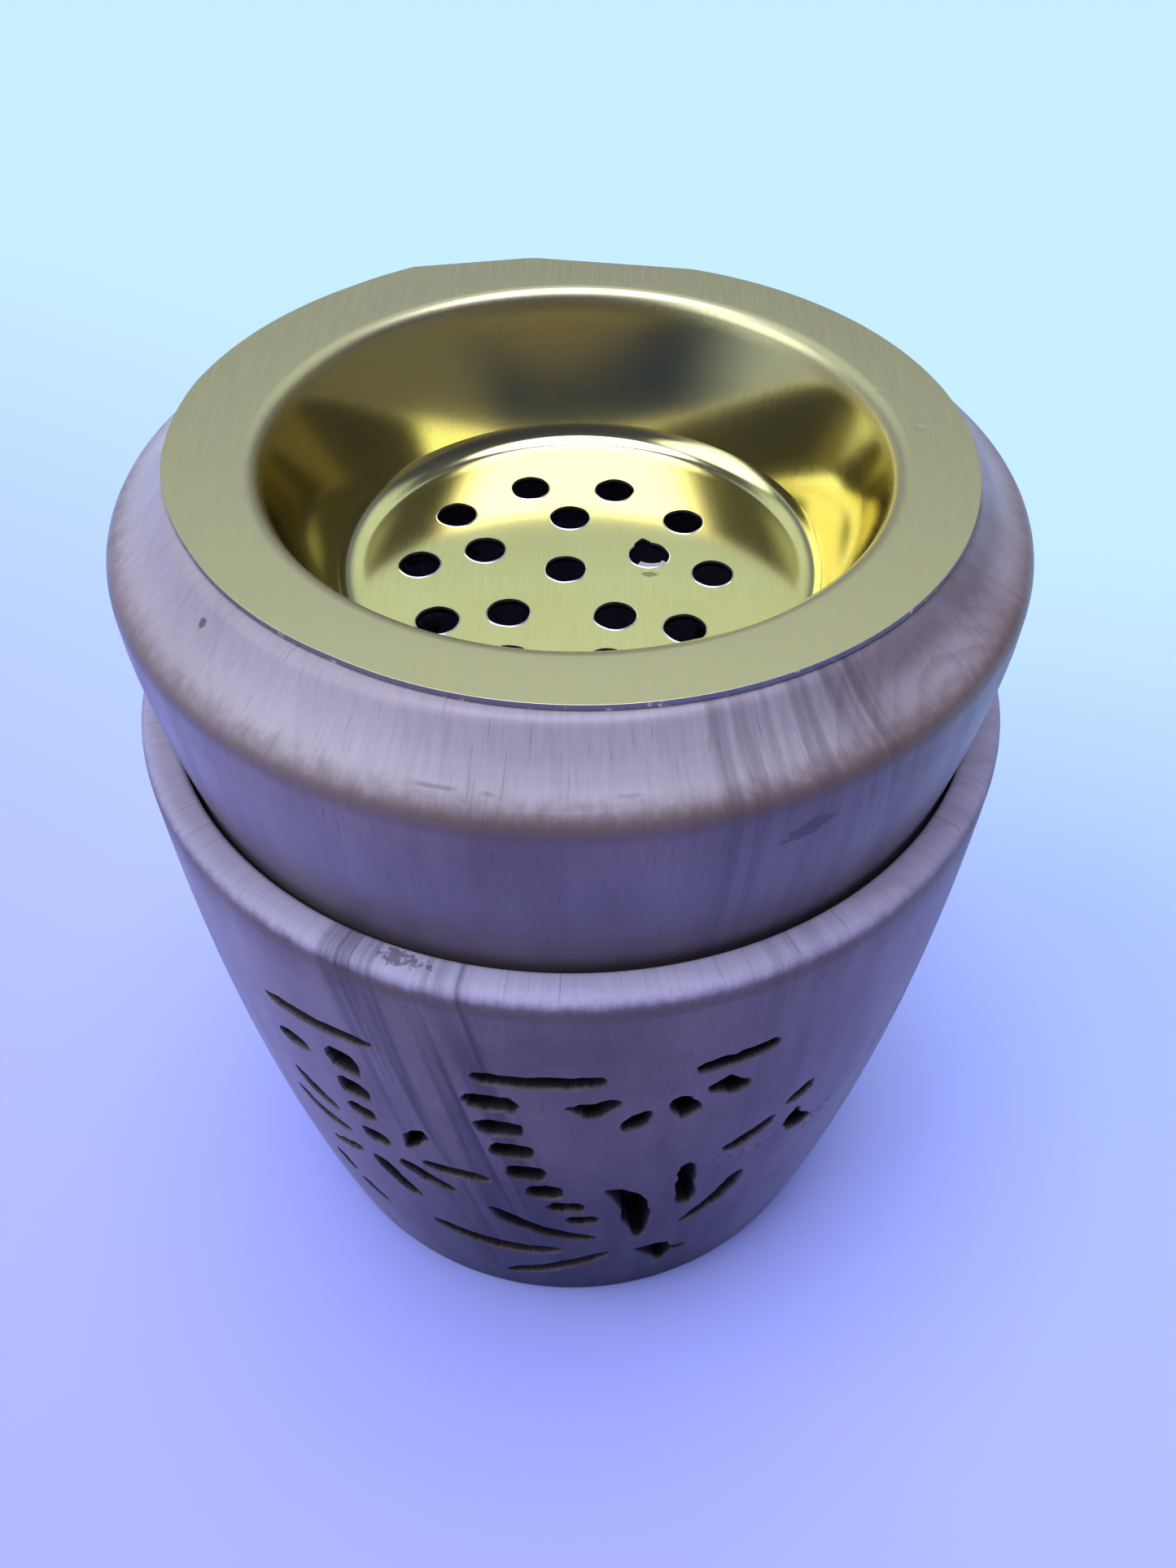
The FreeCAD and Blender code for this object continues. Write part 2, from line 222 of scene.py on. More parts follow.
def stretch(tree, vector, scale):
    node = tree.nodes.new("ShaderNodeVectorMath")
    node.operation = "MULTIPLY"
    feed(tree, node.inputs[0], vector)
    node.inputs[1].default_value = scale
    return node.outputs[0]


def cloud(tree, vector, scale, detail=2.0, rough=0.5, warp=0.0):
    node = tree.nodes.new("ShaderNodeTexNoise")
    for name, term in (("Vector", vector), ("Scale", scale), ("Detail", detail),
                       ("Roughness", rough), ("Distortion", warp)):
        feed(tree, node.inputs[name], term)
    return node.outputs["Fac"]


def bumped(tree, height, strength, distance):
    node = tree.nodes.new("ShaderNodeBump")
    node.inputs["Strength"].default_value = strength
    node.inputs["Distance"].default_value = distance
    tree.links.new(height, node.inputs["Height"])
    return node.outputs["Normal"]


def newMaterial(name):
    material = bpy.data.materials.new(name)
    material.use_nodes = True
    tree = material.node_tree
    shader = tree.nodes["Principled BSDF"]
    place = tree.nodes.new("ShaderNodeTexCoord").outputs["Object"]
    return material, tree, shader, place


def useGroup(tree, group, **inputs):
    node = tree.nodes.new("ShaderNodeGroup")
    node.node_tree = group
    for name, term in inputs.items():
        feed(tree, node.inputs[name], term)
    return node.outputs


def newGroup(name, inputs, outputs):
    group = bpy.data.node_groups.new(name, "ShaderNodeTree")
    for label, kind in inputs:
        group.interface.new_socket(label, in_out="INPUT", socket_type=kind)
    for label, kind in outputs:
        group.interface.new_socket(label, in_out="OUTPUT", socket_type=kind)
    start = group.nodes.new("NodeGroupInput").outputs
    end = group.nodes.new("NodeGroupOutput").inputs
    return group, start, end


def polarParts(tree, place):
    split = tree.nodes.new("ShaderNodeSeparateXYZ")
    tree.links.new(place, split.inputs[0])
    x, y, z = split.outputs
    angle = calc(tree, "MULTIPLY", calc(tree, "ARCTAN2", y, x), 180 / math.pi)
    reach = calc(tree, "SQRT", calc(tree, "ADD", calc(tree, "MULTIPLY", x, x), calc(tree, "MULTIPLY", y, y)))
    return x, y, z, angle, reach


def makeGrain():
    # solid wood: growth rings round a pith off to one side, and streaks, fibres and pores that run up the
    # turned surface
    group, given, made = newGroup(
        "turnedGrain",
        [("Place", "NodeSocketVector"), ("Pith", "NodeSocketVector"), ("Ring", "NodeSocketFloat"),
         ("Warp", "NodeSocketFloat"), ("Squeeze", "NodeSocketFloat")],
        [(label, "NodeSocketFloat") for label in ("Rings", "Streaks", "Fibres", "Pores", "Blotch", "Tooling")])
    tree = group
    shift = tree.nodes.new("ShaderNodeVectorMath")
    shift.operation = "SUBTRACT"
    tree.links.new(given["Place"], shift.inputs[0])
    tree.links.new(given["Pith"], shift.inputs[1])
    slow = stretch(tree, shift.outputs[0], (1, 1, 0.22))
    sway = cloud(tree, slow, 38, 3, 0.55)
    split = tree.nodes.new("ShaderNodeSeparateXYZ")
    tree.links.new(shift.outputs[0], split.inputs[0])
    x, y, z = split.outputs
    reach = calc(tree, "SQRT", calc(tree, "ADD", calc(tree, "MULTIPLY", x, x), calc(tree, "MULTIPLY", y, y)))
    swayed = calc(tree, "ADD", reach, calc(tree, "MULTIPLY", calc(tree, "SUBTRACT", sway, 0.5), given["Warp"]))
    years = calc(tree, "DIVIDE", swayed, given["Ring"])
    turn = calc(tree, "FRACT", years)
    late = calc(tree, "MULTIPLY", span(tree, turn, 0.3, 0.85), span(tree, turn, 0.88, 1.0, 1.0, 0.0))
    chance = tree.nodes.new("ShaderNodeTexWhiteNoise")
    chance.noise_dimensions = "1D"
    tree.links.new(calc(tree, "FLOOR", years), chance.inputs["W"])
    tree.links.new(calc(tree, "MULTIPLY", late, span(tree, chance.outputs["Value"], 0.0, 1.0, 0.15, 1.0)),
                   made["Rings"])
    x, y, z, angle, reach = polarParts(tree, given["Place"])
    wrapped = tree.nodes.new("ShaderNodeCombineXYZ")
    tree.links.new(calc(tree, "MULTIPLY", calc(tree, "DIVIDE", x, reach), 0.047), wrapped.inputs[0])
    tree.links.new(calc(tree, "MULTIPLY", calc(tree, "DIVIDE", y, reach), 0.047), wrapped.inputs[1])
    tree.links.new(calc(tree, "MULTIPLY", z, given["Squeeze"]), wrapped.inputs[2])
    skin = wrapped.outputs[0]
    tree.links.new(cloud(tree, stretch(tree, skin, (1, 1, 0.8)), 240, 4, 0.5), made["Streaks"])
    tree.links.new(cloud(tree, skin, 2400, 4, 0.7), made["Fibres"])
    pore = cloud(tree, skin, 2900, 1, 0.4)
    tree.links.new(span(tree, pore, 0.66, 0.76), made["Pores"])
    tree.links.new(cloud(tree, given["Place"], 42, 3, 0.55), made["Blotch"])
    tooling = cloud(tree, stretch(tree, given["Place"], (0.03, 0.03, 1)), 2600, 2, 0.5)
    tree.links.new(tooling, made["Tooling"])
    return group


grainGroup = makeGrain()

woodLook = {
    "pale": tint(142, 124, 124),
    "mid": tint(118, 101, 104),
    "dark": tint(78, 64, 68),
    "streak": tint(54, 47, 64),
    "fibre": (0.36, 0.33, 0.33, 1),
    "scorch": tint(112, 88, 70),
    # painted sheen for the collar's slope, and the paler trail of the scratch
    "wearAndSheen": tint(204, 186, 184),
    "raw": tint(122, 106, 106),
    "rawDark": tint(62, 51, 56),
    # painted shade deep in the cuts
    "recessShade": tint(40, 32, 38),
    "stain": tint(46, 36, 42),
    # painted shade for the cup's front and foot
    "frontFootShade": tint(56, 47, 66),
    # painted sheen for the cup's lip and sides
    "lip": tint(208, 194, 212),
}

goldLook = {
    "pale": (0.82, 0.73, 0.33, 1),
    "deep": (0.77, 0.66, 0.275, 1),
    "line": (0.67, 0.58, 0.25, 1),
    "stain": (0.16, 0.12, 0.05, 1),
    "dull": (0.66, 0.575, 0.31, 1),
    "bare": (0.74, 0.74, 0.77, 1),
    # painted shade for the flange's rim
    "edge": (0.26, 0.26, 0.30, 1),
    # painted shade inside the holes
    "recessShade": (0.02, 0.018, 0.04, 1),
}


def woodBase(tree, place, sheenShare, wearAndSheen, pith, ring, warp, squeeze, ringShare, fibreShare):
    # colour and relief that both turned pieces share; the sheen share is painted paler, as painted sheen where
    # light from above falls
    grain = useGroup(tree, grainGroup, Place=place, Pith=pith, Ring=ring, Warp=warp, Squeeze=squeeze)
    shade = calc(tree, "ADD", calc(tree, "MULTIPLY", grain["Streaks"], 0.4),
                 calc(tree, "MULTIPLY", grain["Blotch"], 0.75))
    colour = blendColour(tree, span(tree, shade, 0.38, 0.76), woodLook["pale"], woodLook["mid"])
    colour = blendColour(tree, sheenShare, colour, wearAndSheen)
    colour = blendColour(tree, calc(tree, "MULTIPLY", grain["Rings"], ringShare), colour, woodLook["dark"])
    fine = span(tree, grain["Fibres"], 0.3, 0.72, 0.0, fibreShare)
    colour = blendColour(tree, fine, colour, woodLook["fibre"], "MULTIPLY")
    colour = blendColour(tree, calc(tree, "MULTIPLY", grain["Pores"], 0.22), colour, woodLook["streak"])
    relief = calc(tree, "ADD", calc(tree, "MULTIPLY", grain["Fibres"], 0.5),
                  calc(tree, "MULTIPLY", grain["Tooling"], 0.6))
    relief = calc(tree, "SUBTRACT", relief, calc(tree, "MULTIPLY", grain["Pores"], 0.4))
    return grain, colour, relief


def frayedHeight(tree, place, z, amount):
    # height with an uneven shift, so that tone changes have no ruled edge
    uneven = calc(tree, "SUBTRACT", cloud(tree, stretch(tree, place, (1, 1, 0.4)), 800, 3, 0.65), 0.5)
    return calc(tree, "ADD", z, calc(tree, "MULTIPLY", uneven, amount))


def streakLines(tree, angle, z, middle, half, soft, lean=0.0):
    # a bundle of soft dark upright lines; lean is how many degrees it drifts over a metre of height
    drift = calc(tree, "ADD", angle, calc(tree, "MULTIPLY", z, lean))
    join = tree.nodes.new("ShaderNodeCombineXYZ")
    tree.links.new(calc(tree, "MULTIPLY", drift, 0.42), join.inputs[0])
    tree.links.new(calc(tree, "MULTIPLY", z, 14.0), join.inputs[1])
    lines = span(tree, cloud(tree, join.outputs[0], 1.0, 3, 0.5, 0.4), 0.38, 0.66)
    return calc(tree, "MULTIPLY", lines, band(tree, drift, middle, half, soft))


def cupWood():
    material, tree, shader, place = newMaterial("cupWood")
    x, y, z, angle, reach = polarParts(tree, place)
    # painted sheen: the lip is painted paler where light from above falls, most of all at the front, with a darker
    # line below it
    frayed = frayedHeight(tree, place, z, 0.0008)
    front = band(tree, angle, -88.0, 4.0, 64.0)
    lip = calc(tree, "MULTIPLY", span(tree, frayed, 0.0859, 0.0871), span(tree, front, 0.0, 1.0, 0.58, 0.98))
    grain, colour, relief = woodBase(tree, place, lip, woodLook["lip"], (0.018, 0.03, 0), 0.0035, 0.018, 0.25,
                                     0.12, 0.2)
    ragged = calc(tree, "MULTIPLY", calc(tree, "SUBTRACT", cloud(tree, place, 900, 4, 0.65), 0.42), 5.0)
    # dark upright streaks left of the front, and fainter ones round the other sides
    for middle, half, share, lean in ((-93.0, 6.0, 0.8, 180.0), (-62.0, 3.0, 0.25, 20.0),
                                      (12.0, 6.0, 0.5, 60.0), (128.0, 5.0, 0.55, -40.0)):
        dark = streakLines(tree, angle, z, middle, half, 6.0, lean)
        colour = blendColour(tree, calc(tree, "MULTIPLY", dark, share), colour, woodLook["streak"])
    edge = band(tree, frayed, 0.0850, 0.0003, 0.0009)
    colour = blendColour(tree, calc(tree, "MULTIPLY", edge, 0.5), colour, woodLook["scorch"])
    wearAndSheen = calc(tree, "MULTIPLY", spot(tree, angle, reach, (-108.0, 0.0474), (5.0, 0.0011), ragged),
                span(tree, z, 0.0868, 0.0871, 0.0, 0.6))
    colour = blendColour(tree, wearAndSheen, colour, woodLook["stain"])
    # painted shade: the wall is painted darker, most of all at the front and towards the foot
    frontFootShade = calc(tree, "MULTIPLY", span(tree, z, 0.0, 0.0862, 1.0, 0.0), span(tree, front, 0.0, 1.0, 0.1, 0.98))
    colour = blendColour(tree, frontFootShade, colour, woodLook["frontFootShade"])
    # painted sheen: the sides away from the front are painted paler
    sideSheen = calc(tree, "MULTIPLY", span(tree, front, 0.0, 1.0, 0.34, 0.0), span(tree, z, 0.078, 0.086, 1.0, 0.2))
    colour = blendColour(tree, sideSheen, colour, woodLook["lip"])
    # a rough pitted scratch runs down and up again to the right of the front
    flaw = span(tree, cloud(tree, place, 1100, 5, 0.8), 0.4, 0.66)
    outside = span(tree, reach, 0.0448, 0.0456)
    for middle, half, height, rise in ((-60.0, 9.0, 0.047, -0.00012), (-41.0, 11.0, 0.0505, 0.00062)):
        level = calc(tree, "ADD", z, calc(tree, "MULTIPLY", calc(tree, "SUBTRACT", angle, middle), -rise))
        trail = calc(tree, "MULTIPLY", band(tree, level, height, 0.0008, 0.0008),
                     calc(tree, "MULTIPLY", band(tree, angle, middle, half, 2.0), outside))
        pits = calc(tree, "MULTIPLY", trail, flaw)
        colour = blendColour(tree, calc(tree, "MULTIPLY", trail, 0.15), colour, woodLook["wearAndSheen"])
        colour = blendColour(tree, calc(tree, "MULTIPLY", pits, 0.75), colour, woodLook["stain"])
        relief = calc(tree, "SUBTRACT", relief, calc(tree, "MULTIPLY", pits, 0.5))
    tree.links.new(colour, shader.inputs["Base Color"])
    rough = span(tree, grain["Streaks"], 0.2, 0.8, 0.36, 0.46)
    tree.links.new(rough, shader.inputs["Roughness"])
    tree.links.new(bumped(tree, relief, 0.3, 0.00015), shader.inputs["Normal"])
    shader.inputs["IOR"].default_value = 1.16
    return material


def rawWood():
    # the saw's cut: paler than the outside only at its edge, scored along the depth of the wall, and painted with
    # shade that deepens inside
    material, tree, shader, place = newMaterial("rawCutWood")
    x, y, z, angle, reach = polarParts(tree, place)
    join = tree.nodes.new("ShaderNodeCombineXYZ")
    for socket, term in zip(join.inputs, (calc(tree, "MULTIPLY", angle, 1.6), calc(tree, "MULTIPLY", z, 1400.0),
                                          calc(tree, "MULTIPLY", reach, 160.0))):
        tree.links.new(term, socket)
    score = cloud(tree, join.outputs[0], 1.0, 3, 0.6)
    blotch = cloud(tree, place, 260, 2, 0.5)
    colour = blendColour(tree, span(tree, blotch, 0.3, 0.75, 0.0, 0.5), woodLook["raw"], woodLook["rawDark"])
    # the outside of the wall is the same shallow curve that the cup is turned to
    foot, belly, rim = [cupShape[name] * mm for name in ("footRadius", "bellyRadius", "rimRadius")]
    pull = 2 * belly - (foot + rim) / 2
    share = calc(tree, "DIVIDE", z, 2 * cupShape["bellyHeight"] * mm)
    curve = calc(tree, "MULTIPLY", calc(tree, "MULTIPLY", share, share), foot - 2 * pull + rim)
    wall = calc(tree, "ADD", calc(tree, "ADD", curve, calc(tree, "MULTIPLY", share, 2 * (pull - foot))), foot)
    depth = calc(tree, "SUBTRACT", wall, reach)
    frayed = calc(tree, "ADD", depth, calc(tree, "MULTIPLY", calc(tree, "SUBTRACT", score, 0.5), 0.0008))
    # painted shade: the cut darkens with its depth into the wall
    colour = blendColour(tree, span(tree, frayed, 0.0001, 0.0006), colour, woodLook["rawDark"])
    colour = blendColour(tree, span(tree, frayed, 0.0004, 0.0014), colour, woodLook["recessShade"])
    tree.links.new(colour, shader.inputs["Base Color"])
    tree.links.new(span(tree, score, 0.2, 0.8, 0.7, 0.9), shader.inputs["Roughness"])
    tree.links.new(bumped(tree, score, 0.5, 0.00025), shader.inputs["Normal"])
    shader.inputs["Specular IOR Level"].default_value = 0.2
    return material


def collarWood():
    material, tree, shader, place = newMaterial("collarWood")
    x, y, z, angle, reach = polarParts(tree, place)
    # painted sheen: the slope is painted paler where light from above falls, most of all along its lower half and
    # least at the crown on the right
    frayed = frayedHeight(tree, place, z, 0.0013)
    slope = calc(tree, "MULTIPLY", span(tree, frayed, 0.1088, 0.1108),
                 span(tree, band(tree, angle, -86.0, 14.0, 50.0), 0.0, 1.0, 0.56, 0.73))
    inner = span(tree, frayed, 0.1112, 0.1132)
    right = band(tree, angle, -5.0, 38.0, 22.0)
    slope = calc(tree, "MULTIPLY", slope, calc(tree, "SUBTRACT", span(tree, inner, 0.0, 1.0, 1.0, 0.88),
                                               calc(tree, "MULTIPLY", calc(tree, "MULTIPLY", inner, right), 0.6)))
    grain, colour, relief = woodBase(tree, place, slope, woodLook["wearAndSheen"], (0.042, -0.036, 0), 0.0017, 0.011, 0.12,
                                     0.07, 0.17)
    ragged = calc(tree, "MULTIPLY", calc(tree, "SUBTRACT", cloud(tree, place, 1300, 3, 0.65), 0.5), 2.4)
    # growth rings show plainly at the right of the front and at the far left
    for middle, half, soft, share in ((-44.0, 12.0, 14.0, 0.14), (140.0, 12.0, 20.0, 0.2)):
        figure = calc(tree, "MULTIPLY", grain["Rings"], band(tree, angle, middle, half, soft))
        colour = blendColour(tree, calc(tree, "MULTIPLY", figure, share), colour, woodLook["streak"])
    brown = calc(tree, "MULTIPLY", right, span(tree, grain["Blotch"], 0.35, 0.65, 0.1, 0.5))
    colour = blendColour(tree, brown, colour, woodLook["scorch"])
    for middle, half, soft, share, lean in ((-65.0, 6.0, 7.0, 0.4, 0.0), (-54.0, 3.0, 4.0, 0.4, 160.0)):
        lines = streakLines(tree, angle, z, middle + 0.11 * lean, half, soft, lean)
        colour = blendColour(tree, calc(tree, "MULTIPLY", lines, share), colour, woodLook["streak"])
    # the shoulder is warm, scorched by the lathe tool, and painted shade darkens the side towards its seat
    edge = band(tree, frayed, 0.1089, 0.0003, 0.0019)
    colour = blendColour(tree, calc(tree, "MULTIPLY", edge, 0.6), colour, woodLook["scorch"])
    foot = span(tree, frayed, 0.0885, 0.1035, 1.0, 0.0)
    colour = blendColour(tree, calc(tree, "MULTIPLY", foot, 0.6), colour, woodLook["dark"])
    # a smear under the shoulder and a fleck at the left
    lean = calc(tree, "ADD", z, calc(tree, "MULTIPLY", calc(tree, "ADD", angle, 63.0), -0.0002))
    outside = span(tree, reach, 0.038, 0.040)
    smear = calc(tree, "MULTIPLY", spot(tree, angle, lean, (-63.2, 0.1046), (3.4, 0.0011), ragged), 0.65)
    smear = calc(tree, "MULTIPLY", smear, outside)
    colour = blendColour(tree, smear, colour, woodLook["stain"])
    fleck = calc(tree, "MULTIPLY", spot(tree, angle, z, (-138.8, 0.1133), (0.7, 0.0004), ragged), 0.7)
    fleck = calc(tree, "MULTIPLY", fleck, outside)
    colour = blendColour(tree, fleck, colour, woodLook["stain"])
    # one thin tool line low on the front of the slope
    broken = span(tree, cloud(tree, place, 220, 2, 0.5), 0.42, 0.6)
    groove = calc(tree, "MULTIPLY", band(tree, z, 0.1106, 0.00004, 0.00012), band(tree, angle, -94.0, 9.0, 5.0))
    groove = calc(tree, "MULTIPLY", groove, broken)
    colour = blendColour(tree, calc(tree, "MULTIPLY", groove, 0.4), colour, woodLook["dark"])
    relief = calc(tree, "SUBTRACT", relief, groove)
    tree.links.new(colour, shader.inputs["Base Color"])
    rough = span(tree, grain["Streaks"], 0.2, 0.8, 0.28, 0.38)
    tree.links.new(rough, shader.inputs["Roughness"])
    tree.links.new(bumped(tree, relief, 0.25, 0.00013), shader.inputs["Normal"])
    shader.inputs["Specular IOR Level"].default_value = 0.3
    return material


def dishGold():
    # sheet brushed along Y before it was pressed, duller on the flange than in the bowl
    material, tree, shader, place = newMaterial("brushedGold")
    x, y, z, angle, reach = polarParts(tree, place)
    brush = cloud(tree, stretch(tree, place, (1, 0.015, 0.2)), 8000, 3, 0.65)
    smudge = cloud(tree, place, 55, 3, 0.6)
    colour = blendColour(tree, span(tree, smudge, 0.3, 0.75), goldLook["pale"], goldLook["deep"])
    flat = span(tree, z, 0.1128, 0.1153)
    colour = blendColour(tree, span(tree, flat, 0.0, 1.0, 0.0, 0.85), colour, goldLook["dull"])
    fine = span(tree, brush, 0.25, 0.8, 0.0, 0.45)
    colour = blendColour(tree, fine, colour, goldLook["line"])
    ragged = calc(tree, "MULTIPLY", calc(tree, "SUBTRACT", cloud(tree, place, 2600, 3, 0.65), 0.5), 2.4)
    stain = calc(tree, "MULTIPLY", spot(tree, x, y, (0.0086, -0.0016), (0.0010, 0.0005), ragged), 0.6)
    tree.links.new(blendColour(tree, stain, colour, goldLook["stain"]), shader.inputs["Base Color"])
    bowl = span(tree, brush, 0.25, 0.8, 0.10, 0.15)
    face = span(tree, brush, 0.25, 0.75, 0.32, 0.42)
    rough = calc(tree, "ADD", calc(tree, "MULTIPLY", flat, face),
                 calc(tree, "MULTIPLY", calc(tree, "SUBTRACT", 1.0, flat), bowl))
    tree.links.new(rough, shader.inputs["Roughness"])
    shader.inputs["Metallic"].default_value = 1.0
    # the brushing is faint in the bowl, and three small dents mark the flange
    relief = calc(tree, "MULTIPLY", brush, span(tree, flat, 0.0, 1.0, 0.3, 1.0))
    for dent in ((-0.0318, 0.0029), (0.0326, 0.0098), (0.0357, 0.0027)):
        mark = spot(tree, x, y, dent, (0.0009, 0.0006), ragged)
        relief = calc(tree, "SUBTRACT", relief, calc(tree, "MULTIPLY", mark, 6.0))
    tree.links.new(bumped(tree, relief, 0.14, 0.00004), shader.inputs["Normal"])
    return material


def bareEdge():
    # the uncoloured metal that shows where the sheet was cut
    material, tree, shader, place = newMaterial("bareEdge")
    scrape = cloud(tree, stretch(tree, place, (1, 1, 0.3)), 5000, 3, 0.6)
    colour = blendColour(tree, span(tree, scrape, 0.3, 0.8, 0.0, 0.5), goldLook["bare"], goldLook["pale"])
    # painted shade: the rim of the flange is painted dark as the shadow under the flange, with bright flecks
    x, y, z, angle, reach = polarParts(tree, place)
    flecks = cloud(tree, place, 900, 3, 0.7)
    rimShade = calc(tree, "MULTIPLY", span(tree, z, 0.110, 0.114), span(tree, flecks, 0.6, 0.7, 1.0, 0.0))
    colour = blendColour(tree, rimShade, colour, goldLook["edge"])
    # painted shade: the metal below the bowl's floor, inside the holes, is painted near black
    colour = blendColour(tree, span(tree, z, 0.09905, 0.09933, 0.95, 0.0), colour, goldLook["recessShade"])
    tree.links.new(colour, shader.inputs["Base Color"])
    tree.links.new(span(tree, scrape, 0.2, 0.8, 0.25, 0.45), shader.inputs["Roughness"])
    shader.inputs["Metallic"].default_value = 1.0
    tree.links.new(bumped(tree, scrape, 0.3, 0.00005), shader.inputs["Normal"])
    return material


# carved cup, in millimetres

cupShape = {
    "footRadius": 42.1,
    "footSoft": 0.6,
    "bellyRadius": 48.2,
    "bellyHeight": 43.5,
    "rimRadius": 49.98,
    "lipSoft": 1.9,
    "mouthRadius": 46.1,
    "mouthSoft": 0.8,
    "ledgeHeight": 79.3,
    "boreRadius": 43.4,
    "boreHeight": 43.5,
    "floorRadius": 38.0,
    "floorHeight": 7.0,
    "rows": 64,
    "steps": 192,
}


def cupPath():
    shape = cupShape
    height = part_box("carved_cup")[1].z / mm
    wall = bow((shape["footRadius"], 0), (shape["bellyRadius"], shape["bellyHeight"]),
               (shape["rimRadius"], height), shape["rows"])
    corners = [(0, 0, 0), (shape["footRadius"] - 14, 0, 0), wall[0] + (shape["footSoft"],)]
    corners += [point + (0,) for point in wall[1:-1] if point[1] < height - shape["lipSoft"]]
    corners += [
        (shape["rimRadius"], height, shape["lipSoft"]),
        (shape["mouthRadius"], height, shape["mouthSoft"]),
        (shape["mouthRadius"], shape["ledgeHeight"], 0),
        (shape["boreRadius"], shape["ledgeHeight"], 0.3),
    ]
    inner = [(shape["boreRadius"], shape["boreHeight"]), (shape["floorRadius"], shape["floorHeight"])]
    steps = 12
    corners += [(shape["boreRadius"], shape["ledgeHeight"] - (shape["ledgeHeight"] - inner[0][1]) * i / steps, 0)
                for i in range(1, steps)]
    corners += [tuple(a + (b - a) * i / steps for a, b in zip(*inner)) + (0,) for i in range(steps)]
    corners += [(shape["floorRadius"], shape["floorHeight"], 1.2), (0, shape["floorHeight"], 0)]
    return softPath(corners), wall


cupMaterial = cupWood()
rawMaterial = rawWood()
cupLine, cupWall = cupPath()
cup = turnOnLathe("carvedCup", cupLine, cupShape["steps"])
cup.data.materials.append(cupMaterial)
print("cup turned:", len(cup.data.polygons), "faces")

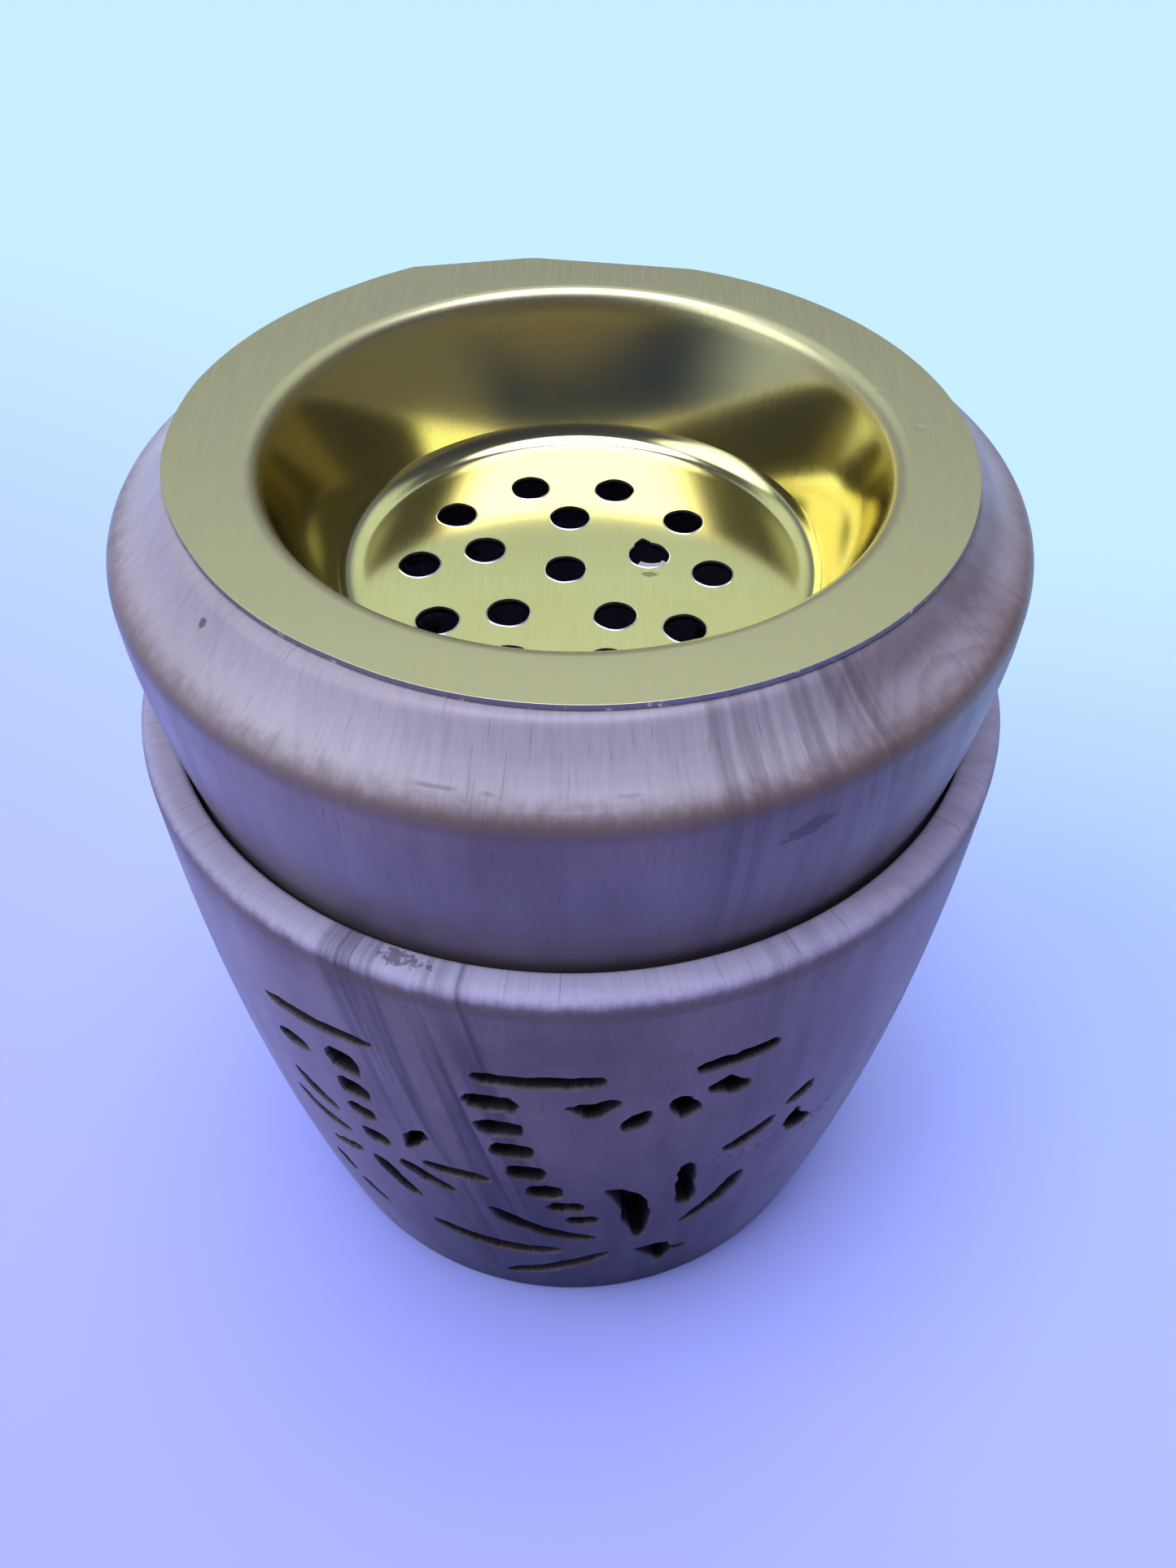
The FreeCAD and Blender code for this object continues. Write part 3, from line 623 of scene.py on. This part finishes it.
# the carved scene, as (degrees round the cup, height in mm)
carving = {
    "repeats": 3,
    "spread": 47.0,  # radius in mm at which degrees are turned into lengths
    "points": 15,
    "wobble": 0.4,
    "rimFlare": 0.12,
    # lines and leaves: start, middle, end, width and how blunt the ends are
    "strokes": [
        # ground lines
        ((-100.5, 72.4), (-92.4, 72.7), (-84.3, 72.9), 2.5, 9),
        ((-129.8, 70.4), (-121.2, 71.6), (-112.6, 72.8), 2.1, 6),
        ((-73.6, 72.8), (-68.2, 72.8), (-62.8, 73.2), 2.4, 6),
        # crown of the tall palm
        ((-100.4, 37.4), (-94.4, 31.4), (-84.4, 27.3), 3.2, 3.5),
        ((-111.8, 24.8), (-101.0, 22.0), (-89.6, 22.5), 4.2, 3),
        ((-100.4, 8.4), (-91.5, 13.8), (-82.0, 20.6), 3.5, 3),
        ((-63.2, 40.4), (-65.6, 34.2), (-71.2, 28.4), 2.9, 2.5),
        # crown of the small palm
        ((-129.2, 62.0), (-127.0, 63.4), (-124.0, 63.4), 2.8, 3),
        ((-129.4, 54.4), (-126.6, 51.7), (-122.6, 50.3), 2.4, 3),
        ((-131.9, 47.4), (-127.4, 45.2), (-121.6, 45.2), 2.4, 3),
        ((-127.8, 36.8), (-124.6, 38.3), (-121.0, 40.8), 1.9, 3),
        ((-118.2, 41.2), (-116.0, 37.2), (-112.4, 32.6), 3.0, 3.5),
        ((-113.4, 44.4), (-110.2, 42.0), (-105.4, 39.6), 3.0, 3),
        ((-109.4, 46.4), (-105.0, 46.4), (-99.8, 46.6), 2.9, 3),
        ((-130.4, 29.8), (-128.8, 28.2), (-127.4, 25.8), 2.2, 3),
        ((-126.2, 24.2), (-124.2, 22.4), (-121.4, 20.6), 2.3, 3),
        # grass at the right
        ((-67.4, 50.8), (-64.0, 51.0), (-60.0, 54.0), 2.6, 3),
    ],
    # cuts across the trunks: left and right end, lowest and highest edge, all of one form
    "stepForm": [(0, 0.5), (0.16, 0.93), (0.5, 1), (0.86, 0.96), (1, 0.6), (0.93, 0.08), (0.55, 0), (0.17, 0.06)],
    "steps": [
        (-101.7, -94.6, 65.6, 69.0),
        (-100.6, -94.4, 59.6, 63.4),
        (-99.2, -93.4, 54.0, 57.9),
        (-97.4, -91.8, 48.0, 52.2),
        (-94.9, -89.6, 42.6, 46.8),
        (-92.1, -86.6, 38.2, 41.4),
        (-89.4, -84.3, 33.3, 36.5),
        (-120.8, -115.7, 63.4, 68.0),
        (-120.2, -115.5, 57.6, 61.8),
        (-119.8, -115.5, 52.6, 55.8),
        (-118.9, -114.7, 46.6, 49.9),
    ],
    # cuts with an outline of their own
    "blobs": [
        # low grove
        [(-89.1, 67.6), (-86.5, 68.4), (-83.2, 69.1), (-82.3, 68.0), (-83.8, 66.2), (-86.0, 64.8), (-87.6, 66.4)],
        [(-82.3, 62.2), (-81.8, 64.0), (-79.6, 65.9), (-78.3, 64.3), (-79.3, 62.3), (-81.4, 61.4)],
        [(-76.4, 66.2), (-75.4, 67.5), (-73.9, 67.1), (-72.1, 63.9), (-74.3, 62.4), (-75.4, 63.8)],
        [(-71.7, 67.8), (-70.4, 69.0), (-68.6, 69.2), (-66.0, 66.4), (-67.3, 65.0), (-69.6, 65.9)],
        [(-58.5, 56.0), (-56.4, 58.0), (-54.7, 58.4), (-54.2, 56.7), (-55.7, 55.3), (-57.4, 54.8)],
        [(-57.3, 48.4), (-57.0, 50.7), (-55.5, 52.3), (-54.6, 49.6), (-51.9, 46.8), (-53.3, 45.4), (-55.6, 46.1)],
        # heart of the tall palm
        [(-83.8, 44.6), (-81.9, 45.2), (-78.7, 42.4), (-76.7, 37.0), (-76.4, 31.4), (-77.2, 26.2), (-78.4, 26.4),
         (-79.8, 31.2), (-81.1, 34.6), (-81.2, 39.0)],
        [(-73.2, 48.8), (-71.3, 48.4), (-70.7, 44.6), (-70.1, 36.0), (-72.7, 36.6), (-73.4, 43.4)],
        [(-78.0, 19.8), (-75.1, 20.8), (-72.4, 19.8), (-71.0, 17.2), (-68.0, 16.2), (-68.6, 14.7), (-70.7, 14.8),
         (-71.3, 12.0), (-72.8, 11.4), (-75.0, 15.4)],
        # fruit of the small palm
        [(-111.6, 52.6), (-109.6, 55.4), (-108.2, 55.8), (-107.8, 54.0), (-109.8, 50.8), (-111.4, 49.2)],
    ],
}


def flatten(places):
    perDegree = math.radians(carving["spread"])
    return [Vector((degrees * perDegree, height)) for degrees, height in places]


def strokeOutline(stroke):
    # the points round a line that swells towards its middle
    *places, width, blunt = stroke
    line = [Vector(point) for point in bow(*flatten(places), 40)]
    count = carving["points"]
    upper, lower = [], []
    for i in range(count + 1):
        share = (1 - math.cos(math.pi * i / count)) / 2
        k = min(int(share * 40), 39)
        along = line[k + 1] - line[k]
        middle = line[k] + along * (share * 40 - k)
        side = Vector((-along.y, along.x)).normalized()
        half = width / 2 * math.sqrt(max(0.0, 1 - abs(2 * share - 1) ** blunt))
        upper.append(middle + side * half)
        lower.append(middle - side * half)
    return upper + lower[-2:0:-1]


def blobOutline(places, count=4):
    # a smooth closed line through the given places
    points = flatten(places)
    total = len(points)
    outline = []
    for i, here in enumerate(points):
        back, on, after = points[i - 1], points[(i + 1) % total], points[(i + 2) % total]
        leave, arrive = (on - back) / 6, (after - here) / 6
        for j in range(count):
            t = j / count
            outline.append(here * (1 - t) ** 3 + (here + leave) * 3 * t * (1 - t) ** 2
                           + (on - arrive) * 3 * t * t * (1 - t) + on * t ** 3)
    return outline


def stepPlaces(step):
    left, right, low, high = step
    return [(left + (right - left) * across, low + (high - low) * up) for across, up in carving["stepForm"]]


def growOutline(outline, grow):
    # each point is moved out by the growth and wobbled as a hand cut is, then turned back into degrees
    perDegree = math.radians(carving["spread"])
    places = []
    for i, point in enumerate(outline):
        along = outline[(i + 1) % len(outline)] - outline[i - 1]
        out = Vector((along.y, -along.x)).normalized()
        wobble = Vector(noise.noise_vector(Vector((point.x, point.y, 2.5)))[:2]) * carving["wobble"]
        moved = point - out * grow + wobble
        places.append((moved.x / perDegree, moved.y))
    return places


def wallRadius(height):
    for (r0, z0), (r1, z1) in zip(cupWall, cupWall[1:]):
        if z0 <= height <= z1:
            return r0 + (r1 - r0) * (height - z0) / (z1 - z0)
    return cupWall[0][0]


def carveScene():
    flare = carving["rimFlare"]
    layers = [(-9.0, -0.15), (-0.2, 0.0), (0.0, flare), (1.6, flare)]  # depth from the wall, growth
    outlines = [strokeOutline(stroke) for stroke in carving["strokes"]]
    outlines += [blobOutline(stepPlaces(step)) for step in carving["steps"]]
    outlines += [blobOutline(places) for places in carving["blobs"]]
    tools = []
    for outline in outlines:
        rings = []
        for depth, grow in layers:
            ring = []
            for degrees, height in growOutline(outline, grow):
                radius = (wallRadius(height) + depth) * mm
                angle = math.radians(degrees)
                ring.append((radius * math.cos(angle), radius * math.sin(angle), height * mm))
            rings.append(ring)
        tools.append(ringStack(rings, rawMaterial))
    return joinAll(tools)


oneScene = carveScene()
turns = [360 / carving["repeats"] * i for i in range(1, carving["repeats"])]
allScenes = joinAll([oneScene] + [copyTurned(oneScene, turn) for turn in turns])
combine(cup, allScenes, "DIFFERENCE")
smoothShade(cup, 35)
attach(cup, "cup")
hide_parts("carved_cup")
print("cup carved:", len(cup.data.polygons), "faces")

# turned collar, in millimetres

collarShape = {
    "boreRadius": 36.5,
    "spigotRadius": 45.7,
    "footHeight": 79.3,
    "rimHeight": 87.3,
    "waistRadius": 47.15,
    "waistHeight": 96.0,
    "radius": 47.9,
    "sideHeight": 104.9,
    "shoulderHeight": 109.3,
    "shoulderSoft": 1.5,
    "coveDip": 0.4,
    "crownRadius": 40.9,
    "crownSoft": 0.9,
    "steps": 192,
}


def collarPath():
    shape = collarShape
    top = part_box("turned_collar")[1].z / mm
    side = bow((shape["spigotRadius"], shape["rimHeight"]), (shape["waistRadius"], shape["waistHeight"]),
               (shape["radius"], shape["sideHeight"]), 16)
    low, high = (shape["radius"], shape["shoulderHeight"]), (shape["crownRadius"], top)
    middle = ((low[0] + high[0]) / 2 - shape["coveDip"], (low[1] + high[1]) / 2 - shape["coveDip"])
    slope = bow(low, middle, high, 12)
    corners = [(shape["boreRadius"], shape["footHeight"], 0.4), (shape["spigotRadius"], shape["footHeight"], 0.5)]
    corners += [point + (0,) for point in side]
    corners += [low + (shape["shoulderSoft"],)]
    corners += [point + (0,) for point in slope[4:-2]]
    corners += [high + (shape["crownSoft"],), (shape["boreRadius"], top, 0.4)]
    path = softPath(corners)
    return path + path[:1]


collar = turnOnLathe("turnedCollar", collarPath(), collarShape["steps"])
collar.data.materials.append(collarWood())
smoothShade(collar, 40)
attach(collar, "collar")
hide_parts("turned_collar")
print("collar turned:", len(collar.data.polygons), "faces")

# spun metal dish, in millimetres about its own middle

dishShape = {
    "shiftX": 1.0,
    "sheet": 0.7,
    "floorRadius": 26.2,
    "mouthRadius": 32.5,
    "mouthBend": 1.3,
    "underBend": 1.7,
    "mouthLean": (-0.5, -0.4),
    "floorLean": (0.0, -1.0),
    "bowlDepth": 16.25,
    "insideBend": 2.2,
    "outsideBend": 2.2,
    "flangeRadius": 40.0,
    "edgeSoft": 0.07,
    "holeRadius": 2.3,
    "holeWobble": 0.1,
    "holeRim": 0.08,
    "rimWidth": 0.14,
    "tornHole": 5,
    # the torn flap, in mm from the middle of its hole
    "flap": [(-1.5, -2.1), (-0.2, -2.6), (1.1, -2.4), (2.2, -1.5), (1.85, -0.9), (1.5, -0.6), (1.2, -1.05),
             (0.4, -1.2), (-0.3, -1.15), (-0.95, -0.9)],
    "holeMiddle": (-1.7, -1.0),
    "rings": [(0, 0, 1), (9.7, 89, 5), (16.25, 71, 10)],  # radius, first angle, number of holes
    "steps": 192,
}

# the hand-cut rim, as angle and radius: straight between the first three, then an easy curve back to round
rimFlats = [(72, 40.0), (100, 41.0), (120, 43.1)]
rimCurve = [(120, 43.1), (132, 42.7), (168, 42.7), (190, 42.0), (210, 40.9), (240, 40.0)]


def dishPath():
    shape = dishShape
    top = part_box("burner_dish")[1].z / mm
    floor = top - shape["bowlDepth"]
    run = (shape["mouthRadius"] - shape["floorRadius"]) / shape["bowlDepth"]
    out = shape["sheet"] * (math.hypot(1, run) - run)
    rim = shape["flangeRadius"]
    flangeInner = shape["mouthRadius"] + 3.0
    floorRows = [3.0, 6.0, 8.0, 11.0, 13.5, 16.0, 18.5, 21.0, 23.5]
    corners = [(0, floor, 0)] + [(radius, floor, 0) for radius in floorRows]
    corners.append((shape["floorRadius"], floor, shape["insideBend"]))
    rows = 8
    for i in range(1, rows - 1):
        corners.append((shape["floorRadius"] + run * shape["bowlDepth"] * i / rows,
                        floor + shape["bowlDepth"] * i / rows, 0))
    corners += [
        (shape["mouthRadius"], top, shape["mouthBend"]),
        (flangeInner, top, 0),
        (rim, top, shape["edgeSoft"]),
        (rim, top - shape["sheet"], shape["edgeSoft"]),
        (shape["mouthRadius"] + out, top - shape["sheet"], shape["underBend"]),
        (shape["floorRadius"] + out, floor - shape["sheet"], shape["outsideBend"]),
    ]
    corners += [(radius, floor - shape["sheet"], 0) for radius in reversed(floorRows)]
    corners.append((0, floor - shape["sheet"], 0))
    return softPath(corners), floor


def rimRadius(degrees):
    degrees %= 360
    for (a, ra), (b, rb) in zip(rimFlats, rimFlats[1:]):
        if a <= degrees <= b:
            p, q = [Vector((r * math.cos(math.radians(t)), r * math.sin(math.radians(t)))) for t, r in ((a, ra), (b, rb))]
            ray = Vector((math.cos(math.radians(degrees)), math.sin(math.radians(degrees))))
            return (p.x * q.y - p.y * q.x) / (ray.x * (q.y - p.y) - ray.y * (q.x - p.x))
    for (a, ra), (b, rb) in zip(rimCurve, rimCurve[1:]):
        if a <= degrees <= b:
            share = (degrees - a) / (b - a)
            return ra + (rb - ra) * share
    return dishShape["flangeRadius"]


def trimFlange(piece):
    # the outer part of the flange is drawn out or in to the hand-cut line
    plain = dishShape["flangeRadius"]
    start = dishShape["mouthRadius"] + 3.5
    for vertex in piece.data.vertices:
        radius = math.hypot(vertex.co.x, vertex.co.y) / mm
        if radius > start:
            wanted = rimRadius(math.degrees(math.atan2(vertex.co.y, vertex.co.x)))
            reach = start + (radius - start) * (wanted - start) / (plain - start)
            vertex.co.x *= reach / radius
            vertex.co.y *= reach / radius


def leanMouth(piece, floor):
    # the bowl was pressed a little off centre: its mouth and floor are shifted, the rim stays
    shape = dishShape
    start, end = shape["mouthRadius"] + 3.0, shape["flangeRadius"] - 1.0
    for vertex in piece.data.vertices:
        up = min(max((vertex.co.z / mm - floor) / shape["bowlDepth"], 0), 1)
        out = min(max((math.hypot(vertex.co.x, vertex.co.y) / mm - start) / (end - start), 0), 1)
        for axis in (0, 1):
            shift = shape["floorLean"][axis] * (1 - up) + shape["mouthLean"][axis] * up
            vertex.co[axis] += shift * (1 - out) * mm


def roundTool(x, y, layers, wobble, material):
    # a closed round tool, a little uneven, from (height, radius) layers
    rings = []
    for height, radius in layers:
        ring = []
        for i in range(36):
            angle = 2 * math.pi * i / 36
            seed = Vector((x + math.cos(angle) * 1.6, y + math.sin(angle) * 1.6, 0.5))
            reach = radius + wobble * noise.noise(seed)
            ring.append(((x + reach * math.cos(angle)) * mm, (y + reach * math.sin(angle)) * mm, height * mm))
        rings.append(ring)
    return ringStack(rings, material)


def punchHoles(piece, floor):
    # each hole pushes up a low rim of bare metal, and one is torn at its back edge
    shape = dishShape
    hole, wobble = shape["holeRadius"], shape["holeWobble"]
    places = []
    for ringRadius, firstAngle, count in shape["rings"]:
        for i in range(count):
            angle = math.radians(firstAngle + 360 * i / count)
            places.append((shape["holeMiddle"][0] + ringRadius * math.cos(angle),
                           shape["holeMiddle"][1] + ringRadius * math.sin(angle)))
    wide = hole + shape["rimWidth"]
    rim = [(floor - 0.3, wide), (floor, wide), (floor + shape["holeRim"], hole + 0.03)]
    combine(piece, joinAll([roundTool(x, y, rim, wobble, bareMaterial) for x, y in places]), "UNION")
    through = [(floor + 1.0, hole), (floor - 2.0, hole)]
    combine(piece, joinAll([roundTool(x, y, through, wobble, bareMaterial) for x, y in places]), "DIFFERENCE")
    tornX, tornY = places[shape["tornHole"]]
    tear = [(floor + 1.0, 0.95), (floor - 2.0, 0.95)]
    combine(piece, roundTool(tornX - 0.7, tornY + 2.1, tear, 0.3, bareMaterial), "DIFFERENCE")
    flap = [[((tornX + x) * mm, (tornY + y) * mm, height * mm) for x, y in shape["flap"]]
            for height in (floor - 0.45, floor - 0.2)]
    combine(piece, ringStack(flap, bareMaterial), "UNION")


def bareTheRim(piece):
    # the cut edge round the flange shows bare metal
    slots = list(piece.data.materials)
    for face in piece.data.polygons:
        if math.hypot(*face.center[:2]) > 38 * mm and abs(face.normal.z) < 0.6:
            face.material_index = slots.index(bareMaterial)


goldMaterial = dishGold()
bareMaterial = bareEdge()
dishLine, dishFloor = dishPath()
dish = turnOnLathe("burnerDish", dishLine, dishShape["steps"])
dish.data.materials.append(goldMaterial)
dish.data.materials.append(bareMaterial)
trimFlange(dish)
leanMouth(dish, dishFloor)
bareTheRim(dish)
punchHoles(dish, dishFloor)
dish.data.transform(Matrix.Translation((dishShape["shiftX"] * mm, 0, 0)))
smoothShade(dish, 20)
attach(dish, "dish")
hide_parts("burner_dish")
print("dish spun and punched:", len(dish.data.polygons), "faces")

# floor, light and camera

stageLook = {
    "floorBack": tint(203, 229, 240),
    "floorFront": tint(180, 178, 250),
    "floorSize": 6.0,
    "dim": (0.08, 0.095, 0.16, 1),
    "backLow": (0.20, 0.24, 0.42, 1),
    "backHigh": (0.70, 0.86, 0.94, 1),
    "lowLeft": (0.42, 0.50, 0.72, 1),
    "lowRight": (0.15, 0.15, 0.15, 1),
    "frontLow": (0.025, 0.04, 0.11, 1),
    "frontBand": (0.20, 0.18, 0.14, 1),
    "frontHigh": (0.05, 0.06, 0.12, 1),
    "window": (2.1, 2.5, 3.0, 1),
    "windowWay": (-0.74, -0.20, 0.642),
    "softBox": (4.7, 5.2, 7.7, 1),
}


def layFloor():
    clearSelection()
    bpy.ops.mesh.primitive_plane_add(size=stageLook["floorSize"])
    floor = bpy.context.object
    floor.name = "floorSheet"
    material, tree, shader, place = newMaterial("paleFloor")
    split = tree.nodes.new("ShaderNodeSeparateXYZ")
    tree.links.new(place, split.inputs[0])
    # painted shade: the floor is painted darker and bluer towards the front and left
    along = calc(tree, "ADD", split.outputs["Y"], calc(tree, "MULTIPLY", split.outputs["X"], 0.5))
    share = span(tree, along, -0.12, 0.25)
    tree.links.new(blendColour(tree, share, stageLook["floorFront"], stageLook["floorBack"]),
                   shader.inputs["Base Color"])
    shader.inputs["Roughness"].default_value = 0.7
    shader.inputs["Specular IOR Level"].default_value = 0.2
    floor.data.materials.append(material)


def lightWorld():
    # a dim room with a pale back wall, a soft window at the left and a round soft box overhead
    world = bpy.data.worlds.new("studio")
    bpy.context.scene.world = world
    world.use_nodes = True
    tree = world.node_tree
    background = tree.nodes["Background"]
    way = tree.nodes.new("ShaderNodeTexCoord").outputs["Generated"]
    split = tree.nodes.new("ShaderNodeSeparateXYZ")
    tree.links.new(way, split.inputs[0])
    x, y, z = split.outputs
    colour = blendColour(tree, span(tree, z, 0.3, 0.5, 1.0, 0.0), stageLook["dim"], blendColour(
        tree, span(tree, x, -0.9, 0.9), stageLook["lowLeft"], stageLook["lowRight"]))
    back = calc(tree, "MULTIPLY", span(tree, y, 0.1, 0.5), span(tree, z, 0.25, 0.42))
    back = calc(tree, "MULTIPLY", back, span(tree, z, 0.75, 0.84, 1.0, 0.0))
    colour = blendColour(tree, back, colour, stageLook["backLow"])
    bright = calc(tree, "MULTIPLY", back, span(tree, z, 0.46, 0.64))
    colour = blendColour(tree, bright, colour, stageLook["backHigh"])
    # the viewer's side is the darkest, with a warm band at eye level
    turned = span(tree, band(tree, z, 0.27, 0.11, 0.08), 0.0, 1.0, 0.5, 0.0)
    facing = calc(tree, "SUBTRACT", y, calc(tree, "MULTIPLY", x, turned))
    ahead = blendColour(tree, span(tree, x, 0.45, 0.85), stageLook["frontLow"], stageLook["lowRight"])
    ahead = blendColour(tree, span(tree, z, 0.292, 0.318), ahead, stageLook["frontBand"])
    ahead = blendColour(tree, span(tree, z, 0.40, 0.48), ahead, stageLook["frontHigh"])
    colour = blendColour(tree, span(tree, facing, -0.85, -0.1, 1.0, 0.0), colour, ahead)
    toward = tree.nodes.new("ShaderNodeVectorMath")
    toward.operation = "DOT_PRODUCT"
    tree.links.new(way, toward.inputs[0])
    toward.inputs[1].default_value = stageLook["windowWay"]
    colour = blendColour(tree, span(tree, toward.outputs["Value"], 0.88, 0.955), colour, stageLook["window"])
    colour = blendColour(tree, span(tree, z, 0.91, 0.955), colour, stageLook["softBox"])
    tree.links.new(colour, background.inputs["Color"])
    background.inputs["Strength"].default_value = 1.0


layFloor()
lightWorld()

photoCamera = {
    "place": (0.00368, -0.113159, 0.185087),
    "pitch": 47.072,
    "yaw": -0.838,
    "roll": 0.619,
    "focal": 1540.0,  # pixels of the 1445 by 1927 picture
    "longSide": 1927.0,
}


def placeCamera():
    pitch, yaw, roll = [math.radians(photoCamera[name]) for name in ("pitch", "yaw", "roll")]
    ahead = Vector((math.sin(yaw) * math.cos(pitch), math.cos(yaw) * math.cos(pitch), -math.sin(pitch)))
    right = ahead.cross(Vector((0, 0, 1))).normalized()
    up = right.cross(ahead)
    across = right * math.cos(roll) + up * math.sin(roll)
    upward = up * math.cos(roll) - right * math.sin(roll)
    camera = bpy.data.cameras.new("photoCamera")
    camera.sensor_width = 36
    camera.lens = photoCamera["focal"] / photoCamera["longSide"] * camera.sensor_width
    camera.clip_start = 0.005
    holder = bpy.data.objects.new("photoCamera", camera)
    axes = Matrix((across, upward, -ahead)).transposed()
    holder.matrix_world = Matrix.Translation(photoCamera["place"]) @ axes.to_4x4()
    bpy.context.scene.collection.objects.link(holder)
    bpy.context.scene.camera = holder


placeCamera()
bpy.context.scene.view_settings.view_transform = "Standard"
